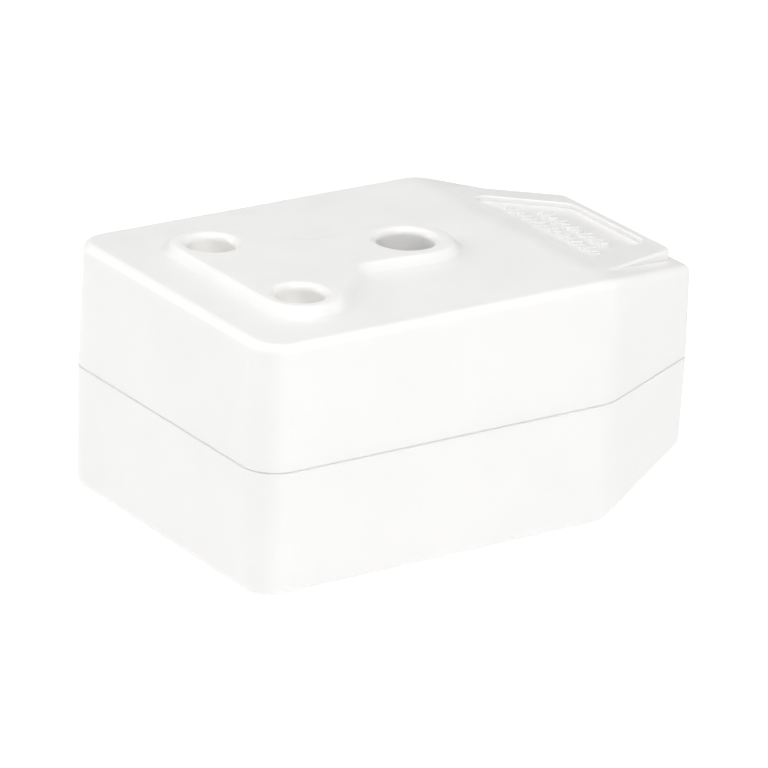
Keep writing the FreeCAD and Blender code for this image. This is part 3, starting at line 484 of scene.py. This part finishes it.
for side in ("upper", "lower"):
    low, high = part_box(side + "_sleeve_rings")
    pole_z = high.z - ring_section[1] / 2.0 if side == "upper" else low.z + ring_section[1] / 2.0
    earth_z = low.z + high.z - pole_z
    grids = []
    for pole, radius, z in (("live", pole_ring_radius, pole_z), ("neutral", pole_ring_radius, pole_z),
                            ("earth", earth_ring_radius, earth_z)):
        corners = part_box(f"{side}_{pole}_sleeve")
        centre = (corners[0] + corners[1]) / 2.0
        grids.append(split_ring(radius) + (centre.x, centre.y, z))
    rings = skin(side + "_finger_rings", grids, spring_wire)
    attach(rings, "root")
    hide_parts(side + "_sleeve_rings")


# ---------------------------------------------------------------- strips
# Flat strips pressed from rolled brass join the upper and lower sleeve of each pole and end under
# the terminals.  Rolling lines run along them, and the blanking tool has rounded their edges.
strip_round = 0.15 * mm
rolled_brass = worked_brass("rolled_brass", 0.3 * mm, (0.05, 2.0, 2.0), 0.3)
for pole in ("live", "neutral", "earth"):
    strip = rounded_copy(pole + "_strip", pole + "_busbar", rolled_brass, strip_round)


# ---------------------------------------------------------------- terminals, rivets and screws
# Sawn and drilled brass blocks take the conductors, each riveted to its strip from below and
# closed by a plated screw.  The rivets' heads are domed by the setting tool.
terminal_round = 0.2 * mm
rivet_head_radius = 2.1 * mm
rivet_head_height = 0.7 * mm
rivet_radius = 1.2 * mm
terminal_screw_head = (2.6 * mm, 2.2 * mm)
terminal_screw_radius = 1.7 * mm
terminal_screw_pitch = 0.7 * mm
terminal_screw_point = 0.5 * mm


def lathe(profile, count=40):
    """Profile of radius and height carried round the Z axis."""
    angle = np.linspace(0.0, 2.0 * math.pi, count, endpoint=False)
    x = profile[:, :1] * np.cos(angle)
    y = profile[:, :1] * np.sin(angle)
    z = np.repeat(profile[:, 1:], count, 1)
    return np.stack([x, y, z], -1)


def rivet(length):
    """Domed head below z = 0, a quarter ellipse in section, and a plain shank above it."""
    bend = np.linspace(0.0, math.pi / 2.0, 10)
    dome = np.stack([rivet_head_radius * np.sin(bend), -rivet_head_height * np.cos(bend)], -1)
    shank = np.array([[rivet_radius, 0.0], [rivet_radius, length], [0.0, length]])
    return lathe(np.concatenate([dome, shank]))


for pole in ("live", "neutral", "earth"):
    block = rounded_copy(pole + "_terminal", pole + "_terminal_block", rolled_brass, terminal_round)
low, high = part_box("terminal_rivets")
shank_length = high.z - low.z - rivet_head_height
rivet_places = row_in_box("terminal_rivets", rivet_head_radius, 3)
rivet_seat = low.z + rivet_head_height
rivet_grids = [rivet(shank_length) + (x, y, rivet_seat) for x, y in rivet_places]
rivets = skin("strip_rivets", rivet_grids, turned_brass)
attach(rivets, "root")
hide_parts("terminal_rivets")
place_screws("wire_screws", "terminal_screws", row_in_box("terminal_screws", terminal_screw_head[0], 3),
             terminal_screw_head, terminal_screw_radius, terminal_screw_pitch, 1, zinc,
             terminal_screw_point)


# ---------------------------------------------------------------- cable grommet
# A soft bush moulded in white rubbery plastic lines the cable's way through the nose.  A flange on
# each side of the wall keeps it in, and its mouth is flared so that the cable isn't nicked.
grommet_bore = 5.2 * mm
grommet_neck = 7.1 * mm
grommet_flange = 8.6 * mm
grommet_step = 0.9 * mm
wall_low = 1.2 * mm         # thickness of the outer lip
wall_high = 2.7 * mm        # from the end face to the inner flange
inner_flange = 1.2 * mm


def soft_vinyl(name):
    """Soft plastic: a dull skin with shallow dimples and slightly uneven whiteness."""
    made, tree, shader = new_finish(name)
    patches = spread(tree, mottle(tree, 4.0 * mm, 4.0), 0.0, 1.0)
    tone = two_tone(tree, patches, (0.76, 0.76, 0.74), (0.70, 0.70, 0.68))
    tree.links.new(tone, shader.inputs["Base Color"])
    tree.links.new(spread(tree, mottle(tree, 2.0 * mm, 3.0), 0.52, 0.68), shader.inputs["Roughness"])
    tree.links.new(relief(tree, mottle(tree, 0.4 * mm, 3.0), 0.02 * mm, 0.6), shader.inputs["Normal"])
    return made


def eased(corners, radii, steps=5):
    """Closed outline through corners, each swapped for a curve that starts and ends radius away.

    The curve is the quadratic blend of its start, the corner and its end.
    """
    corners = np.array(corners)
    before = np.roll(corners, 1, axis=0)
    after = np.roll(corners, -1, axis=0)
    reach = np.array(radii)[:, None]
    start = corners + (before - corners) / np.linalg.norm(before - corners, axis=1, keepdims=True) * reach
    end = corners + (after - corners) / np.linalg.norm(after - corners, axis=1, keepdims=True) * reach
    t = np.linspace(0.0, 1.0, steps)[None, :, None]
    curve = (1 - t) ** 2 * start[:, None] + 2 * t * (1 - t) * corners[:, None] + t ** 2 * end[:, None]
    return curve.reshape(-1, 2)


low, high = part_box("cable_grommet")
length = high.x - low.x
grommet_outline = eased(
    [(grommet_bore, length), (grommet_bore, 0.0), (grommet_flange, 0.0), (grommet_flange, -wall_low),
     (grommet_neck, -wall_low), (grommet_neck, -wall_high), (grommet_flange, -wall_high),
     (grommet_flange, -wall_high - inner_flange), (grommet_neck, -wall_high - inner_flange),
     (grommet_bore + grommet_step, -length), (grommet_bore, -length)][1:],
    np.array([0.7, 0.35, 0.2, 0.05, 0.05, 0.2, 0.3, 0.3, 0.2, 0.3]) * mm,
)
around = np.linspace(0.0, 2.0 * math.pi, 96)
grommet_grid = np.stack([
    high.x + np.repeat(grommet_outline[None, :, 1], around.size, 0),
    grommet_outline[None, :, 0] * np.cos(around)[:, None],
    (low.z + high.z) / 2.0 + grommet_outline[None, :, 0] * np.sin(around)[:, None],
], -1)
grommet = skin("entry_grommet", [grommet_grid], soft_vinyl("soft_vinyl"), 50.0)
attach(grommet, "root")
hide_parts("cable_grommet")


# ---------------------------------------------------------------- cord clamp
# A moulded bar with a half-round groove presses the cable's sheath into the saddle of the lower
# shell.  Two plated screws go through it.
clamp_round = 0.3 * mm
clamp_screw_head = (2.6 * mm, 2.0 * mm)
clamp_screw_radius = 1.5 * mm
clamp_screw_pitch = 1.1 * mm
clamp_screw_point = 1.6 * mm
clamp = rounded_copy("cord_clamp", "cord_clamp_bar", guide_resin, clamp_round)
place_screws("clamp_tappers", "cord_clamp_screws", row_in_box("cord_clamp_screws", clamp_screw_head[0], 2),
             clamp_screw_head, clamp_screw_radius, clamp_screw_pitch, 1, zinc, clamp_screw_point)


# ---------------------------------------------------------------- upper shell
# The upper half of the casing closes over the tongue of the lower one.  The small bevels where the
# two meet make the parting line.  It is moulded in the same resin.
finish_node("upper_shell", white_resin)


# ---------------------------------------------------------------- shell screws
# Four long self-tapping screws sit deep in wells in the lower face and bite in the upper bosses.
shell_screw_head = (2.9 * mm, 2.2 * mm)
shell_screw_radius = 1.5 * mm
shell_screw_pitch = 1.2 * mm
shell_screw_point = 1.8 * mm
low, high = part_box("shell_screws")
shell_screw_places = [
    (x, y)
    for x in (low.x + shell_screw_head[0], high.x - shell_screw_head[0])
    for y in (low.y + shell_screw_head[0], high.y - shell_screw_head[0])
]
place_screws("casing_screws", "shell_screws", shell_screw_places, shell_screw_head, shell_screw_radius,
             shell_screw_pitch, -1, zinc, shell_screw_point)


# ---------------------------------------------------------------- floor and light
# A pale floor lit from below, as a light table is, in a dim white room.  Large soft lights hang
# overhead and stand behind on the left, with weaker ones at the near side and the right.
floor_half = 3.0
floor_drop = 0.02 * mm      # so that the resting face and the floor don't share a plane
floor_patch = 0.4           # across a patch of the floor's slightly uneven grey
floor_glow = 0.88
room_glow = 0.15
floor_mesh = bpy.data.meshes.new("floor")
floor_mesh.from_pydata(
    [(x * floor_half, y * floor_half, -floor_drop) for x, y in ((-1, -1), (1, -1), (1, 1), (-1, 1))],
    [], [(0, 1, 2, 3)],
)
floor = bpy.data.objects.new("floor", floor_mesh)
bpy.context.scene.collection.objects.link(floor)
floor_paint, floor_tree, floor_shader = new_finish("floor_paint")
floor_patches = mottle(floor_tree, floor_patch, 2.0)
floor_tone = two_tone(floor_tree, floor_patches, (0.30, 0.30, 0.30), (0.31, 0.31, 0.31))
floor_tree.links.new(floor_tone, floor_shader.inputs["Base Color"])
floor_shader.inputs["Roughness"].default_value = 0.9
floor_shader.inputs["Specular IOR Level"].default_value = 0.0
floor_shader.inputs["Emission Color"].default_value = (1.0, 1.0, 1.0, 1.0)
floor_shader.inputs["Emission Strength"].default_value = floor_glow
floor_mesh.materials.append(floor_paint)

room = bpy.data.worlds.new("white_room")
room.use_nodes = True
room.node_tree.nodes["Background"].inputs["Color"].default_value = (1.0, 1.0, 1.0, 1.0)
room.node_tree.nodes["Background"].inputs["Strength"].default_value = room_glow
bpy.context.scene.world = room
bpy.context.scene.view_settings.view_transform = "Standard"


def softbox(name, place, aim, size, power):
    """Square area light at place that faces aim."""
    lamp = bpy.data.lights.new(name, "AREA")
    lamp.size = size
    lamp.energy = power
    stand = bpy.data.objects.new(name, lamp)
    stand.location = place
    stand.rotation_euler = (Vector(aim) - Vector(place)).to_track_quat("-Z", "Y").to_euler()
    bpy.context.scene.collection.objects.link(stand)
    return stand


middle_of_body = (cad_box[0] + cad_box[1]) / 2.0
softbox("overhead", (0.0, 0.0, 1.1), middle_of_body, 0.7, 5.9)
softbox("over_near", (0.0, -0.7, 0.85), middle_of_body, 0.6, 3.4)
softbox("over_left", (-0.45, -0.6, 0.8), middle_of_body, 0.4, 3.2)
softbox("left_back", (-0.8, 0.7, 0.4), middle_of_body, 0.6, 5.35)
softbox("near", (0.05, -1.0, 0.35), middle_of_body, 0.6, 1.9)
softbox("right", (1.0, 0.0, 0.35), middle_of_body, 0.6, 0.7)


# ---------------------------------------------------------------- camera
# A long lens from the near left and above, turned slightly about its own axis.
camera_azimuth = math.radians(-35.39)
camera_elevation = math.radians(21.36)
camera_roll = math.radians(2.75)
camera_distance = 871.4 * mm
camera_aim = Vector((-2.36, 0.47, 19.59)) * mm
camera_lens = 254.4         # mm, on a sensor 36 mm wide
camera_sensor = 36.0
flat = math.cos(camera_elevation)
back = Vector((math.sin(camera_azimuth) * flat, -math.cos(camera_azimuth) * flat, math.sin(camera_elevation)))
level = Vector((math.cos(camera_azimuth), math.sin(camera_azimuth), 0.0))
right = Matrix.Rotation(camera_roll, 3, back) @ level
camera_data = bpy.data.cameras.new("camera")
camera_data.lens = camera_lens
camera_data.sensor_width = camera_sensor
camera_data.clip_start = 0.05
camera_data.clip_end = 20.0
camera = bpy.data.objects.new("camera", camera_data)
camera.matrix_world = Matrix.Translation(camera_aim + back * camera_distance) @ Matrix(
    (right, back.cross(right), back)
).transposed().to_4x4()
bpy.context.scene.collection.objects.link(camera)
bpy.context.scene.camera = camera
